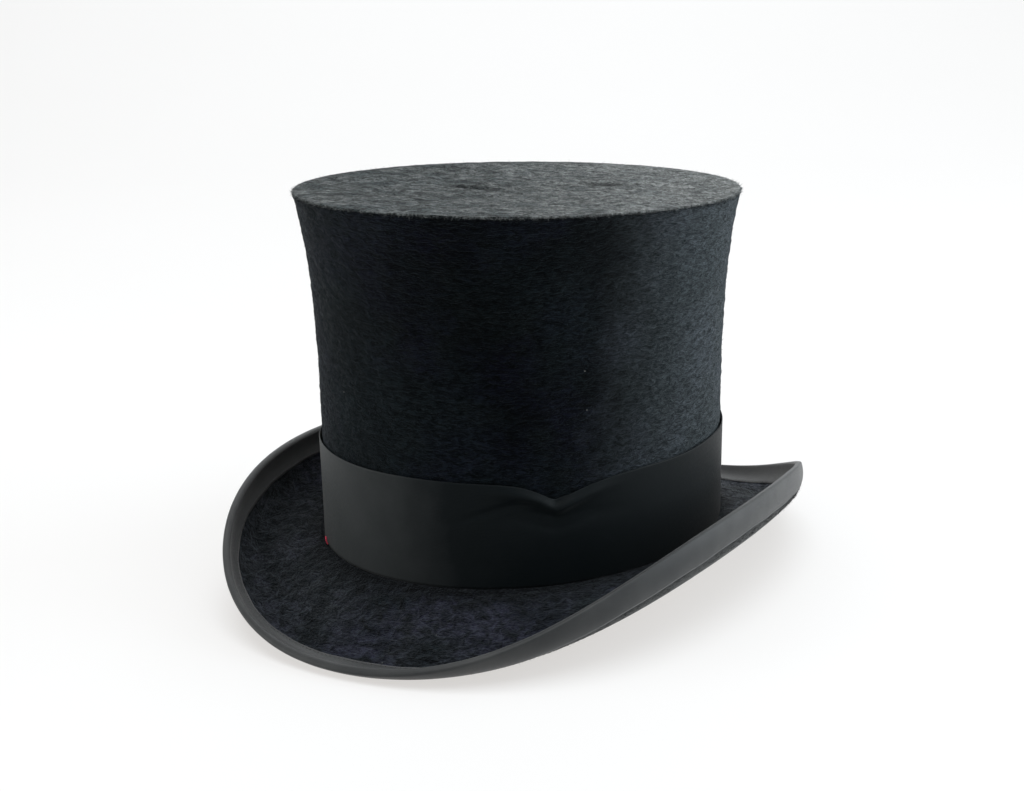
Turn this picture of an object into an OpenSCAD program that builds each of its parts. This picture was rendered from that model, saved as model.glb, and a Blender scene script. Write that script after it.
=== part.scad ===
// Top hat: bell crown, rolled brim, hat band, binding, sweatband and lining.
// The origin is under the middle of the hat, on the surface that it stands on.
// The front of the hat faces -Y. All sizes are in millimetres.

/* [Crown] */
// Length of the crown shell at the brim, front to back
crown_l = 201; // [190:1:214]
// Width of the crown shell at the brim
crown_w = 171; // [158:1:182]
// Height of the crown above the brim
crown_h = 153; // [130:1:165]
// How far the tip flares out at the front and the back
flare_front = 11.5; // [4:0.5:14]
// How far the tip flares out at each side
flare_side = 7.5; // [3:0.5:12]
// How late the flare begins: larger keeps the lower crown straighter
flare_power = 4.3; // [2:0.1:6]
// How far the middle of the tip sinks below its rim
tip_dish = 2; // [0:0.5:4]
// How much the tip falls from front to back, over the length of the crown's foot
tip_fall = 11; // [0:1:14]

/* [Brim] */
// Width of the brim at the front and the back, along the cloth
brim_front = 60; // [50:1:62]
// Width of the brim at each side, along the cloth
brim_side = 46; // [44:1:54]
// Slope of the brim at the front and the back, in degrees
slope_front = -24; // [-26:1:-10]
// Slope of the brim at each side, in degrees
slope_side = 11; // [0:1:14]
// Angle of the edge at the front and the back, in degrees
edge_front = 38; // [5:1:50]
// Angle of the edge at each side, in degrees: over 90 leans inward
edge_side = 109; // [80:1:125]
// Length of the curled part at the front and the back
curl_front = 14; // [14:1:30]
// Length of the curled part at each side
curl_side = 29; // [22:1:36]

/* [Trim] */
// Height of the hat band
band_h = 45; // [30:1:55]
// How far the top edge of the band stands off the crown
band_loose = 0.9; // [0:0.1:1.5]
// Width of the binding on each face of the brim
binding_w = 12; // [8:0.5:13]
// Height of the sweatband
sweatband_h = 55; // [45:1:62]

/* [Materials] */
// Thickness of the crown's stiffened cloth
shell_t = 1.4; // [1:0.1:2]
// Thickness of the brim's stiffened cloth
board_t = 1.3; // [1:0.1:1.8]
// Thickness of the plush
plush_t = 0.9; // [0.8:0.1:1.2]
// Thickness of the ribbon
ribbon_t = 0.35; // [0.3:0.05:0.5]
// Thickness of the leather
leather_t = 0.9; // [0.7:0.1:1.2]

/* [Hidden] */

// Number of stations around the oval, and the angle between two of them
stations = 60;
step = 360/stations;

// Extra width, slope, angle and length of the brim half way between side and front
brim_diagonal = 3.5;
slope_diagonal = -8.5;
edge_diagonal = 24;
curl_diagonal = 4.5;

// Small parts
cover_t = 0.4;          // cloth under the brim
collar_h = 10;          // the brim's turned-up collar around the crown
collar_t = 0.5;
strip_t = plush_t - collar_t;
tip_t = 1.2;            // stiffened disc in the tip
tape_t = 0.4;           // tape in the corner under the tip
tape_w = 9;
band_t = 0.6;
lining_t = 0.3;
lining_gap = 0.35;
lining_start = 30;      // the side lining starts behind the sweatband
reed_r = 1.1;
thread_r = 0.25;
hem = 1.2;              // distance of a sewn row from its edge
lap_start = 138;        // the ends of the band meet at the back, on the right of the wearer
lap_end = 150;
lap_t = 0.6;
binding_lap_angles = [114, 120];
bow_l = 26;
bow_h = 8;
bow_t = 0.8;
knot_w = 6;
ends_angle = 226;       // the red thread ends lie on the brim, near the front on the wearer's right

function side_share(t) = pow(out(t)[0], 2);
function mix(front, side, diagonal, t) =
    let (s = side_share(t)) front + (side - front)*s + diagonal*4*s*(1 - s);

// ---- The oval of the crown shell's outer face, and the direction out of it ----
function on_oval(t) = [crown_w/2*cos(t), crown_l/2*sin(t)];
function out(t) = let (v = [cos(t)/crown_w, sin(t)/crown_l]) v/norm(v);

// A point at p seen from above and z above the foot of the crown, which falls to the back near the tip
function raised(p, z) = [p[0], p[1], z + root_z - tip_fall*p[1]/crown_l*max(z, 0)/crown_h];

// A point at angle t, r outside the oval and z above the foot of the crown
function place(t, r, z) = raised(on_oval(t) + out(t)*r, z);

// ---- The crown's wall: how far it stands outside the oval at height z ----
function flare(t, z) =
    let (s = side_share(t)) (flare_side*s + flare_front*(1 - s))*pow(max(z, 0)/crown_h, flare_power);

// ---- The brim's section ----
function width(t) = mix(brim_front, brim_side, brim_diagonal, t);
function slope(t) = mix(slope_front, slope_side, slope_diagonal, t);
function edge_angle(t) = mix(edge_front, edge_side, edge_diagonal, t);
function curl(t) = mix(curl_front, curl_side, curl_diagonal, t);
function turn(t, s) =
    let (flat = width(t) - curl(t)) slope(t) + (edge_angle(t) - slope(t))*max(0, s - flat)/curl(t);

// Distance out and height of the point s along the brim and h above its board
function brim(t, s, h) =
    let (flat = width(t) - curl(t), a = slope(t), k = turn(t, min(s, width(t))),
         bend = curl(t)/((edge_angle(t) - a)*PI/180), straight = min(s, flat),
         past = max(0, s - width(t)))
    [straight*cos(a) + (s > flat ? bend*(sin(k) - sin(a)) : 0) + past*cos(k) - h*sin(k),
     straight*sin(a) - (s > flat ? bend*(cos(k) - cos(a)) : 0) + past*sin(k) + h*cos(k)];

// Height of the brim's layer h at a distance r from the crown, on its flat part
function brim_z(t, r, h) = r*tan(slope(t)) + h/cos(slope(t));

// Places along the brim where its layers have their vertices
quarters = [0.25, 0.5, 0.75, 1];
function across(t) = let (flat = width(t) - curl(t), hem_s = width(t) - binding_w)
    concat([0.5*flat, flat],
           [for (k = quarters) flat + k*(hem_s - flat)],
           [for (k = quarters) hem_s + k*binding_w]);
function reverse(list) = [for (i = [len(list) - 1:-1:0]) list[i]];

// Levels of the crown's wall, closer together where it flares
levels = [0.3, 0.5, 0.64, 0.76, 0.86, 0.94, 1];

// The foot of the crown stands this high, so that the lowest point of the binding is at 0
under = board_t + cover_t;
lowest = min([for (i = [0:stations - 1], p = binding_run(i*step, -under - ribbon_t)) p[1]]);
root_z = -lowest;

// ---- Sweeps ----

// A closed solid between rings of points: wrap joins the last ring to the first. Otherwise both
// ends are closed by strips between the ring's first half and its second half.
module skin(rings, wrap) {
    n = len(rings[0]);
    count = len(rings);
    last = wrap ? count - 1 : count - 2;
    end = last*n + n;
    polyhedron(
        points = [for (ring = rings) each ring],
        faces = concat(
            [for (i = [0:last], j = [0:n - 1]) let (a = i*n, b = ((i + 1) % count)*n, k = (j + 1) % n)
                each [[a + j, a + k, b + k], [a + j, b + k, b + j]]],
            wrap ? [] : [for (j = [0:n/2 - 2]) let (k = n - 1 - j)
                each [[k, k - 1, j + 1, j], [end + j, end + j + 1, end + k - 1, end + k]]]),
        convexity = 6);
}

// A section of [r, z] points carried all the way around the crown
module around(section)
    skin([for (i = [0:stations - 1]) let (t = i*step) [for (p = section(t)) place(t, p[0], p[1])]], true);

// The same over a part of the way, from one angle to another
module part_way(section, from, to, steps)
    skin([for (i = [0:steps]) let (t = from + (to - from)*i/steps)
          [for (p = section(t)) place(t, p[0], p[1])]], false);

// A disc that fills the oval: the section's first number is a share of the way out
module disc(section, r)
    skin([for (p = section) [for (i = [0:stations - 1]) let (t = i*step)
          raised((on_oval(t) + out(t)*r(t))*p[0], p[1])]], false);

// A straight thread between two points
module thread(from, to, r) {
    v = to - from;
    translate(from)
        rotate([0, acos(v[2]/norm(v)), atan2(v[1], v[0])])
            cylinder(r = r, h = norm(v), $fn = 8);
}

// ---- Body of the hat ----
wall_top = crown_h - plush_t - tip_t;

module crown_shell() color([0.62, 0.53, 0.4])
    around(function(t) concat(
        [[0, brim_z(t, 0, -board_t)]],
        [for (u = levels) [flare(t, u*wall_top), u*wall_top]],
        [for (u = reverse(levels)) [flare(t, u*wall_top) - shell_t, u*wall_top]],
        [[-shell_t, brim_z(t, 0, -board_t)]]));

module tip_shell() color([0.6, 0.51, 0.38])
    disc(tip_section(wall_top, wall_top + tip_t), function(t) flare(t, wall_top));

module brim_shell() color([0.58, 0.5, 0.38])
    around(function(t) concat(
        [[0, collar_h], [0, brim_z(t, 0, -board_t)]],
        [for (s = across(t)) brim(t, s, -board_t)],
        [for (s = reverse(across(t))) brim(t, s, 0)],
        [[collar_t, brim_z(t, collar_t, 0)], [collar_t, collar_h]]));

module joint_strip() color([0.12, 0.12, 0.13])
    around(function(t) [
        [collar_t, collar_h], [collar_t, brim_z(t, collar_t, 0)],
        [plush_t, brim_z(t, plush_t, 0)], [plush_t, collar_h]]);

module tip_joint_strip() color([0.75, 0.7, 0.58])
    around(function(t)
        let (top = wall_top, low = wall_top - tape_w, r = flare(t, top) - shell_t, r_low = wall_in(t, low))
        [[r, top], [r - tape_w, top], [r - tape_w, top - tape_t], [r - tape_t, top - tape_t],
         [r_low - tape_t, low], [r_low, low]]);

// ---- Plush and cloth ----
module side_plush() color([0.07, 0.07, 0.09])
    around(function(t) let (top = crown_h - plush_t) concat(
        [[plush_t, collar_h]],
        [for (u = levels) [flare(t, u*wall_top) + plush_t, u*wall_top]],
        [[flare(t, wall_top) + plush_t, top], [flare(t, wall_top), top]],
        [for (u = reverse(levels)) [flare(t, u*wall_top), u*wall_top]],
        [[0, collar_h]]));

module tip_plush() color([0.11, 0.11, 0.13])
    disc(tip_section(crown_h - plush_t, crown_h), function(t) flare(t, wall_top) + plush_t);

module upper_brim_plush() color([0.08, 0.08, 0.1])
    around(function(t) concat(
        [[plush_t, brim_z(t, plush_t, 0)]],
        [for (s = across(t)) brim(t, s, 0)],
        [for (s = reverse(across(t))) brim(t, s, plush_t)],
        [[plush_t, brim_z(t, plush_t, plush_t)]]));

module under_brim_cover() color([0.1, 0.1, 0.1])
    around(function(t) concat(
        [[-shell_t, brim_z(t, 0, -board_t)], [-shell_t, brim_z(t, 0, -board_t) - cover_t],
         [0, brim_z(t, 0, -under)]],
        [for (s = across(t)) brim(t, s, -under)],
        [for (s = reverse(across(t))) brim(t, s, -board_t)],
        [[0, brim_z(t, 0, -board_t)]]));

// ---- Binding ----
function binding_run(t, h) = [for (k = concat([0], quarters)) brim(t, width(t) - binding_w*(1 - k), h)];

// The ribbon's section, t_in inside and t_out outside the layers of the brim
function folded(t, t_in, t_out) =
    let (w = width(t), top = plush_t, mid = (plush_t - under)/2, half = (plush_t + under)/2)
    concat(
        binding_run(t, top + t_out),
        [brim(t, w + t_out + 0.3, mid + 0.6*half), brim(t, w + t_out + 0.6, mid),
         brim(t, w + t_out + 0.3, mid - 0.6*half)],
        reverse(binding_run(t, -under - t_out)),
        binding_run(t, -under - t_in),
        t_in > 0 ? [brim(t, w + t_in + 0.3, mid - 0.6*half), brim(t, w + t_in + 0.6, mid),
                    brim(t, w + t_in + 0.3, mid + 0.6*half)] : [],
        reverse(binding_run(t, top + t_in)));

module brim_binding() color([0.24, 0.24, 0.25])
    around(function(t) folded(t, 0, ribbon_t));

module binding_lap() color([0.28, 0.28, 0.29])
    part_way(function(t) folded(t, ribbon_t, 2*ribbon_t), binding_lap_angles[0], binding_lap_angles[1], 1);

module binding_stitches() color([0.05, 0.05, 0.06])
    around(function(t)
        let (s = width(t) - binding_w + hem, h = plush_t + ribbon_t)
        [brim(t, s - thread_r, h), brim(t, s + thread_r, h), brim(t, s, h + thread_r)]);

// ---- Hat band ----
// Distance of the band's inner face from the oval at height z
function band_in(z) = plush_t + (z > collar_h ? band_loose*(z - collar_h)/(band_h - collar_h) : 0);
function band_foot(t, r) = brim_z(t, r, plush_t);

module hat_band() color([0.15, 0.15, 0.16])
    around(function(t) let (r = plush_t + band_t) [
        [plush_t, band_foot(t, plush_t)], [r, band_foot(t, r)], [r, collar_h],
        [band_in(band_h) + band_t, band_h], [band_in(band_h), band_h], [plush_t, collar_h]]);

module hat_band_lap() color([0.17, 0.17, 0.18])
    part_way(function(t) let (r = plush_t + band_t, top = band_in(band_h) + band_t) [
        [r + lap_t, band_foot(t, r + lap_t)], [r + lap_t, collar_h], [top + lap_t, band_h],
        [top, band_h], [r, collar_h], [r, band_foot(t, r)]], lap_start, lap_end, 2);

module hat_band_stitches() color([0.03, 0.03, 0.03])
    for (z = [14:4:band_h - 3]) let (t = lap_start + 1.2, r = band_in(z) + band_t + lap_t + thread_r)
        thread(place(t, r, z), place(t, r, z + 2), thread_r);

module red_thread_ends() color([0.8, 0.12, 0.16])
    for (i = [0, 1])
        let (t = ends_angle + 1.3*i, r = plush_t + band_t + thread_r, z = band_foot(t, r) + thread_r)
        thread(place(t, r, z), place(t + 0.8, r + 2.5, z + 2 + i), thread_r);

// ---- Inside ----
foot = -board_t;        // the sweatband and its reed start level with the brim board
function wall_in(t, z) = flare(t, z) - shell_t;

module sweatband_reed() color([0.85, 0.8, 0.66])
    around(function(t) [for (k = [0:60:300])
        [-shell_t - reed_r + reed_r*cos(k), foot + reed_r + 0.2 + reed_r*sin(k)]]);

// Outer face of the leather: clear of the reed at the foot, against the lining at the top
sweatband_levels = [[0, 2*reed_r], [0.09, 2*reed_r], [0.3, 1.1], [0.6, 0.8], [1, 0.75]];
function leather_in(z) = -shell_t - lookup(z/sweatband_h, sweatband_levels) - leather_t;

module sweatband() color([0.36, 0.24, 0.15])
    around(function(t) concat(
        [for (p = sweatband_levels) [-shell_t - p[1], foot + p[0]*sweatband_h]],
        [for (p = reverse(sweatband_levels)) [-shell_t - p[1] - leather_t, foot + p[0]*sweatband_h]]));

module sweatband_stitches() color([0.75, 0.68, 0.5])
    around(function(t) let (r = -shell_t - 2*reed_r - leather_t, z = foot + 4) [
        [r, z - thread_r], [r - thread_r, z], [r, z + thread_r]]);

// The bow's knot sits on the leather at the back, and its loops stand clear of the curve
bow_up = 14;
bow_y = crown_l/2 + leather_in(bow_up);
bow_z = root_z + foot + bow_up;
bow_clear = 1.6;
knot_t = 3.4;

module bow_loop() hull() {
    translate([bow_l/2 - bow_h/2, 0]) circle(d = bow_h, $fn = 32);
    translate([knot_w/2 - 0.1, -bow_h/5]) square([0.2, bow_h*0.4]);
}

module bow_tail() polygon([[0.5, -1], [7, -15], [3.4, -16.4], [-1.5, -2]]);

module sweatband_bow() color([0.06, 0.06, 0.07]) translate([0, bow_y, bow_z]) rotate([90, 0, 0]) {
    for (side = [0, 1]) mirror([side, 0, 0]) translate([0, 0, bow_clear]) {
        linear_extrude(bow_t) bow_loop();
        linear_extrude(bow_t) bow_tail();
    }
    translate([-knot_w/2, -bow_h/4, 0.06]) cube([knot_w, bow_h/2, knot_t]);
}

module side_lining() color([0.55, 0.5, 0.42])
    around(function(t)
        let (top = wall_top - tape_t - 1.2,
             zs = concat([lining_start], [for (u = levels) if (u > 0.3) u*top]))
        concat(
            [for (z = zs) [wall_in(t, z) - lining_gap - tape_share(z), z]],
            [for (z = reverse(zs)) [wall_in(t, z) - lining_gap - tape_share(z) - lining_t, z]]));

// The lining passes inside the tape near the tip
function tape_share(z) = tape_t*min(1, max(0, z - 0.6*wall_top)/(0.2*wall_top));

module tip_lining() color([0.6, 0.55, 0.46])
    disc([[0.03, tip_lining_z - tip_dish - lining_t], [0.5, tip_lining_z - tip_dish - lining_t],
          [1, tip_lining_z - lining_t], [1, tip_lining_z], [0.5, tip_lining_z - tip_dish],
          [0.03, tip_lining_z - tip_dish]],
         function(t) wall_in(t, tip_lining_z) - lining_gap - tape_t);
tip_lining_z = wall_top - tape_t - 0.5;

// A dished disc's section from the middle of its lower face to the middle of its upper face
function tip_section(low, high) =
    [[0.03, low - tip_dish], [0.4, low - tip_dish*0.75], [0.8, low], [1, low],
     [1, high], [0.8, high], [0.4, high - tip_dish*0.75], [0.03, high - tip_dish]];

crown_shell();
tip_shell();
brim_shell();
joint_strip();
tip_joint_strip();
side_plush();
tip_plush();
upper_brim_plush();
under_brim_cover();
brim_binding();
binding_lap();
binding_stitches();
hat_band();
hat_band_lap();
hat_band_stitches();
red_thread_ends();
sweatband();
sweatband_reed();
sweatband_stitches();
sweatband_bow();
side_lining();
tip_lining();
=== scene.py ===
"""The looks of the top hat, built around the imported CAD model. All lengths below are in millimetres."""

import math

import bmesh
import bpy
import numpy as np
from mathutils import Matrix, Vector, noise


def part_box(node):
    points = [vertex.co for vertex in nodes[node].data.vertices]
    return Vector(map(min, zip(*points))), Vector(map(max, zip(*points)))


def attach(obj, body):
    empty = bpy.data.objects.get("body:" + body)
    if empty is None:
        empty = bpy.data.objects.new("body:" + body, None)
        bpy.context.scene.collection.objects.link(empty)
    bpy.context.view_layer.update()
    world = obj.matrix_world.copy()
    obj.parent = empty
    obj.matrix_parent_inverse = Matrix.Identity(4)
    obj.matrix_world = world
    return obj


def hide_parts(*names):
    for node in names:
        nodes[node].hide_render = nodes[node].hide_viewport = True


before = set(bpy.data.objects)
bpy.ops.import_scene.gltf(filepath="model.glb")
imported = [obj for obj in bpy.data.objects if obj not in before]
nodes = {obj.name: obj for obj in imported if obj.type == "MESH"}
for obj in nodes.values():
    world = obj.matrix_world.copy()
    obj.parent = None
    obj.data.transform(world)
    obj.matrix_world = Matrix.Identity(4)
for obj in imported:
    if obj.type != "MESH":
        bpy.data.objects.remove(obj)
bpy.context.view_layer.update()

MM = 0.001
TAU = 2 * math.pi
UP = np.array([0.0, 0.0, 1.0])

# ---- Driving sizes, the same as the CAD part's, in millimetres and degrees ----
CROWN_L, CROWN_W, CROWN_H = 201.0, 171.0, 153.0
FLARE_FRONT, FLARE_SIDE, FLARE_POWER = 11.5, 7.5, 4.3
TIP_DISH = 2.0
TIP_FALL = 11.0             # from front to back, over the length of the crown's foot
BRIM = {"front": 60.0, "side": 46.0, "diagonal": 3.5}
SLOPE = {"front": -24.0, "side": 11.0, "diagonal": -8.5}
EDGE = {"front": 38.0, "side": 109.0, "diagonal": 24.0}
CURL = {"front": 14.0, "side": 29.0, "diagonal": 4.5}
BOARD_T, COVER_T, PLUSH_T, SHELL_T, TIP_T = 1.3, 0.4, 0.9, 1.4, 1.2
RIBBON_T, LEATHER_T, BAND_T, LINING_T = 0.35, 0.9, 0.6, 0.3
UNDER = BOARD_T + COVER_T
BAND_H, BAND_LOOSE, COLLAR_H = 45.0, 0.9, 10.0
BINDING_W, HEM = 12.0, 1.2
SWEATBAND_H, REED_R = 55.0, 1.1
LAP_START, LAP_END, LAP_T = 138.0, 150.0, 0.6
BINDING_LAP = (114.0, 120.0)
ENDS_ANGLE = 228.4
WALL_TOP = CROWN_H - PLUSH_T - TIP_T
TIP_LOW, TIP_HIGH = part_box("tip_plush")
ROOT_Z = TIP_HIGH.z / MM - CROWN_H + TIP_FALL * TIP_LOW.y / MM / CROWN_L

# ---- Sizes that only the looks have ----
SEAM = 138.0                # the angle where each piece around the hat begins
ALONG = 540                 # stations of a detailed sweep around the hat
SAG_ANGLE = 311.0           # where the band is crumpled
BAND_GAP = 0.35             # between the plush and the band's foot
FOOT = -BOARD_T             # the foot of the leather
STITCH_Z = FOOT + 4.0       # the row of stitches along it


# ---- The hat's shape: t is the angle around the oval in degrees, and may be an array ----
def on_oval(t):
    """Points of the oval at the crown's foot."""
    a = np.radians(t)
    return np.stack([CROWN_W / 2 * np.cos(a), CROWN_L / 2 * np.sin(a)], -1)


def out(t):
    """The direction straight out of the oval."""
    a = np.radians(t)
    v = np.stack([np.cos(a) / CROWN_W, np.sin(a) / CROWN_L], -1)
    return v / np.linalg.norm(v, axis=-1, keepdims=True)


def raised(y, z):
    """Height above the table of points z above the crown's foot: the crown falls to the back near its tip."""
    return z + ROOT_Z - TIP_FALL * y / CROWN_L * np.maximum(z, 0) / CROWN_H


def place(t, r, z):
    """Points r outside the oval at angle t and z above the foot of the crown."""
    t, r, z = np.broadcast_arrays(np.asarray(t, float), r, z)
    xy = on_oval(t) + out(t) * r[..., None]
    return np.concatenate([xy, raised(xy[..., 1], z)[..., None]], -1)


def around(t):
    """The level directions straight out of the oval and along it."""
    away = np.concatenate([out(t), np.zeros((len(t), 1))], 1)
    return away, np.cross(UP, away)


def mixed(values, t):
    """A size of the brim at angle t, from its values at the front, at the side and between them."""
    s = out(t)[..., 0] ** 2
    return values["front"] + (values["side"] - values["front"]) * s + values["diagonal"] * 4 * s * (1 - s)


def flare(t, z):
    """How far the bell of the crown stands out of the oval at the height z."""
    s = out(t)[..., 0] ** 2
    return (FLARE_SIDE * s + FLARE_FRONT * (1 - s)) * (np.maximum(z, 0) / CROWN_H) ** FLARE_POWER


def brim(t, s, h):
    """Distance out and height of the point s along the brim and h above its board."""
    t, s, h = np.broadcast_arrays(np.asarray(t, float), s, h)
    width, curl = mixed(BRIM, t), mixed(CURL, t)
    slope, edge = np.radians(mixed(SLOPE, t)), np.radians(mixed(EDGE, t))
    flat = width - curl
    turn = slope + (edge - slope) * np.maximum(0, np.minimum(s, width) - flat) / curl
    bend = curl / (edge - slope)
    straight, past, curled = np.minimum(s, flat), np.maximum(0, s - width), s > flat
    r = straight * np.cos(slope) + curled * bend * (np.sin(turn) - np.sin(slope))
    z = straight * np.sin(slope) - curled * bend * (np.cos(turn) - np.cos(slope))
    return r + past * np.cos(turn) - h * np.sin(turn), z + past * np.sin(turn) + h * np.cos(turn)


def brim_z(t, r, h):
    """Height of the brim's straight part r outside the oval, h above its board."""
    slope = np.radians(mixed(SLOPE, t))
    return r * np.tan(slope) + h / np.cos(slope)


def wobble(points, size, seed, octaves=3):
    """Smooth noise from -1 to 1 at points in millimetres; size is the length of one bump, or one per axis."""
    size = np.broadcast_to(np.asarray(size, float), (3,))
    flat = points.reshape(-1, 3) / size + seed * 17.31
    values = [noise.fractal(Vector(p), 0.6, 2.1, octaves) for p in flat]
    return np.clip(np.array(values), -1.5, 1.5).reshape(points.shape[:-1])


# ---- Meshes ----
def finished(mesh, name, material, replaced=(), smooth=True):
    piece = bpy.data.objects.new(name, mesh)
    bpy.context.scene.collection.objects.link(piece)
    if smooth:
        mesh.polygons.foreach_set("use_smooth", [True] * len(mesh.polygons))
    mesh.materials.append(material)
    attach(piece, "root")
    if replaced:
        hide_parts(*replaced)
    return piece


def grid(points, wrap_i, wrap_j):
    """Quads over an array of points, closed in either direction, as corner indices."""
    n, m = points.shape[:2]
    i, j = np.meshgrid(np.arange(n if wrap_i else n - 1), np.arange(m if wrap_j else m - 1), indexing="ij")
    i, j = i.ravel(), j.ravel()
    i2, j2 = (i + 1) % n, (j + 1) % m
    return np.stack([i * m + j, i2 * m + j, i2 * m + j2, i * m + j2], -1)


def make_mesh(name, points, faces, uv=None):
    mesh = bpy.data.meshes.new(name)
    mesh.from_pydata((points.reshape(-1, 3) * MM).tolist(), [], faces.tolist())
    if uv is not None:
        layer = mesh.uv_layers.new(name="cloth")
        layer.data.foreach_set("uv", uv.ravel())
    mesh.update()
    return mesh


def lengths(line):
    """Distances along a closed line of points, from its first point to each one and back to the first."""
    return np.concatenate([[0], np.cumsum(np.linalg.norm(np.roll(line, -1, 0) - line, axis=1))])


def uv_of(faces, points, wrap_i):
    """Lengths in metres along both directions of a grid that wraps across, for each corner of each face."""
    n, m = points.shape[:2]
    along, across = lengths(points[:, m // 2]), lengths(points[0])
    i, j = faces // m, faces % m
    if wrap_i:
        i = np.where((i == 0) & (i[:, 1:2] == 0) & (i[:, 0:1] == n - 1), n, i)
    j = np.where((j == 0) & (j[:, 2:3] == 0) & (j[:, 0:1] == m - 1), m, j)
    return np.stack([along[i], across[j]], -1) * MM


def end_caps(n, m):
    """Strips of quads that close both ends of a grid with n rings of m points."""
    half = np.arange(m // 2 - 1)
    first = np.stack([m - 1 - half, m - 2 - half, half + 1, half], -1)
    return np.concatenate([first, first[:, ::-1] + (n - 1) * m])


def shell(name, section, stations, material, replaced=(), ends=None):
    """A closed piece of cloth, carried around the hat, or between two angles where ends has them.

    section(t) gives [points, 3] for an array of angles t: the ring of points of its section, in millimetres.
    """
    t = np.linspace(*ends, stations) if ends else np.arange(stations) * 360 / stations + SEAM
    points = section(t)
    faces = grid(points, not ends, True)
    uv = uv_of(faces, points, not ends)
    if ends:
        caps = end_caps(*points.shape[:2])
        faces = np.concatenate([faces, caps])
        uv = np.concatenate([uv, np.zeros((len(caps), 4, 2))])
    return finished(make_mesh(name, points, faces, uv), name, material, replaced)


def ring(t, rows):
    """Stacks rows of (r, z) into sections: each row holds one value per angle or one value for all."""
    return np.stack([place(t, r, z) for r, z in rows], 1)


def tube(centre, size, side, up, sides=6):
    """Rings of points around a thin tube, size from its centre line, in the directions side and up."""
    turn = np.arange(sides)[:, None] * TAU / sides
    return centre[:, None] + size[:, None, None] * (np.cos(turn) * side + np.sin(turn) * up)


def tubes(name, parts, material, replaced):
    """Thin closed tubes in one mesh, each from its rings of points."""
    points, faces, base = [], [], 0
    for rings in parts:
        n, m = rings.shape[:2]
        quads = np.roll(grid(rings, False, True)[:, ::-1], 1, axis=1) + base
        end = np.arange(m) + base
        faces += quads.tolist() + [end[::-1].tolist(), (end + (n - 1) * m).tolist()]
        points.append(rings.reshape(-1, 3))
        base += n * m
    mesh = bpy.data.meshes.new(name)
    mesh.from_pydata((np.concatenate(points) * MM).tolist(), [], faces)
    mesh.update()
    return finished(mesh, name, material, replaced)


def disc(name, layers, material, replaced):
    """A thin closed disc from the layers of its rings, top first, with its middle filled."""
    points = np.concatenate(layers, 1)
    faces = grid(points, True, False)
    mesh = make_mesh(name, points, faces, points.reshape(-1, 3)[faces][..., :2] * MM)
    b = bmesh.new()
    b.from_mesh(mesh)
    bmesh.ops.holes_fill(b, edges=[e for e in b.edges if e.is_boundary], sides=0)
    b.to_mesh(mesh)
    b.free()
    return finished(mesh, name, material, replaced)


# ---- Materials, whose lengths are in metres ----
def grey(value):
    return (value, value, value)


def step(start, end, low=0.0, high=1.0):
    """The stops of a ramp of greys that goes from low to high between two places."""
    return [(start, grey(low)), (end, grey(high))]


class Paint:
    """A material, with short names for the nodes that it is mixed from."""

    def __init__(self, name):
        self.material = bpy.data.materials.new(name)
        self.material.use_nodes = True
        self.nodes = self.material.node_tree.nodes
        self.links = self.material.node_tree.links
        self.shader = self.nodes["Principled BSDF"]
        self.place = self.nodes.new("ShaderNodeTexCoord").outputs["Object"]

    def put(self, socket, value):
        """Gives a socket another node's output, a number, a vector or a colour."""
        if hasattr(value, "is_linked"):
            self.links.new(value, socket)
        elif socket.type == "RGBA":
            socket.default_value = (*value, 1.0)
        else:
            socket.default_value = value

    def node(self, kind, settings, inputs):
        made = self.nodes.new("ShaderNode" + kind)
        for key, value in settings.items():
            setattr(made, key, value)
        for key, value in inputs.items():
            self.put(made.inputs[key], value)
        return made

    def set(self, **values):
        """Sets the shader's inputs by their names in small letters, with _ for a space."""
        for key, value in values.items():
            name = key.replace("_", " ").title().replace("Ior", "IOR")
            self.put(self.shader.inputs[name], value)

    def cloth(self, along=1, across=1):
        """Lengths along and across the cloth in metres, each times its scale."""
        lengths = self.node("UVMap", {"uv_map": "cloth"}, {}).outputs["UV"]
        return self.scaled(lengths, (along, across, 1))

    def scaled(self, vector, scale):
        return self.node("Mapping", {}, {"Vector": vector, "Scale": scale}).outputs["Vector"]

    def noise(self, vector, scale, detail, rough, distortion=0.0):
        inputs = {"Vector": vector, "Scale": scale, "Detail": detail, "Roughness": rough,
                  "Distortion": distortion}
        return self.node("TexNoise", {}, inputs).outputs["Fac"]

    def wave(self, vector, direction, scale, distortion, detail, detail_scale=1.0):
        inputs = {"Vector": vector, "Scale": scale, "Distortion": distortion, "Detail": detail,
                  "Detail Scale": detail_scale}
        return self.node("TexWave", {"bands_direction": direction}, inputs).outputs["Fac"]

    def ramp(self, source, stops):
        made = self.node("ValToRGB", {}, {"Fac": source})
        while len(made.color_ramp.elements) < len(stops):
            made.color_ramp.elements.new(0.5)
        for element, (at, colour) in zip(made.color_ramp.elements, stops):
            element.position = at
            element.color = (*colour, 1.0)
        return made.outputs["Color"]

    def mix(self, factor, a, b, mode="MIX"):
        settings = {"data_type": "RGBA", "blend_type": mode}
        return self.node("Mix", settings, {"Factor": factor, "A": a, "B": b}).outputs["Result"]

    def math(self, operation, a, b):
        return self.node("Math", {"operation": operation}, {0: a, 1: b}).outputs["Value"]

    def plus(self, a, b):
        return self.math("ADD", a, b)

    def minus(self, a, b):
        return self.math("SUBTRACT", a, b)

    def times(self, a, b):
        return self.math("MULTIPLY", a, b)

    def bump(self, height, depth, strength=1.0):
        made = self.node("Bump", {}, {"Height": height, "Distance": depth, "Strength": strength})
        self.put(self.shader.inputs["Normal"], made.outputs["Normal"])


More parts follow.
